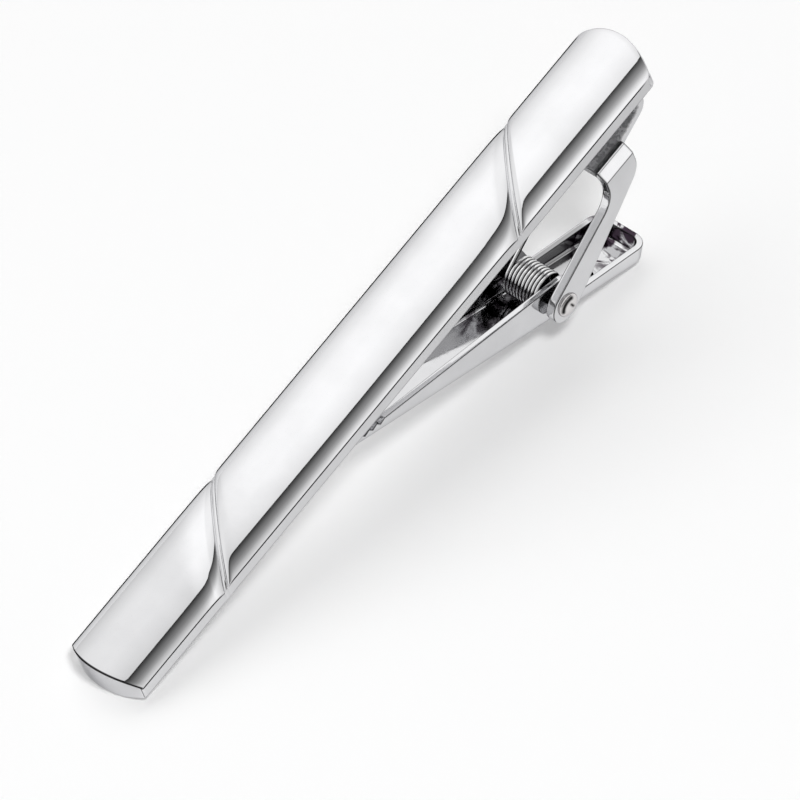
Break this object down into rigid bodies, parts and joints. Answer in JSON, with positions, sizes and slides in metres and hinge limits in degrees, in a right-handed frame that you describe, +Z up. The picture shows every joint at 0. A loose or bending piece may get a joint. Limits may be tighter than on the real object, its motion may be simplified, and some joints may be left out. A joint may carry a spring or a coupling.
{
  "type": "tie clip",
  "caption": "Tie clip: a domed chrome bar with slanted fine cuts, a folded hinge bracket behind one end and a sprung alligator lever that grips the tie against the bar.",
  "frame": {"origin": "on the table under the middle of the clip's box", "axes": "+X along the clip towards its hinge and thumb plate, +Z up from the table it lies on, Y along the rivet"},
  "size_m": [0.0586, 0.0078, 0.0217],
  "materials": {
    "polished_bar": "mirror polished plating",
    "plated_sheet": "bright plating on stamped sheet",
    "solder": "dull, slightly rough solder under plating",
    "rivet_metal": "bright plating on a rivet",
    "spring_wire": "bright drawn wire"
  },
  "bodies": {
    "bar_body": {"front_bar": "polished_bar", "hinge_bracket": "plated_sheet", "solder_bead": "solder", "hinge_pin": "rivet_metal", "torsion_spring": "spring_wire"},
    "lever_body": {"clip_lever": "plated_sheet"}
  },
  "joints": [
    {"name": "lever_hinge", "type": "hinge", "parent": "bar_body", "child": "lever_body", "pos_m": [0.01852, 0, 0.00421], "axis": [0, -1, 0], "range_deg": [0, 60], "stiffness_Nm_per_rad": 0.008, "springref_deg": -114.59, "deforming": ["torsion_spring"]}
  ]
}
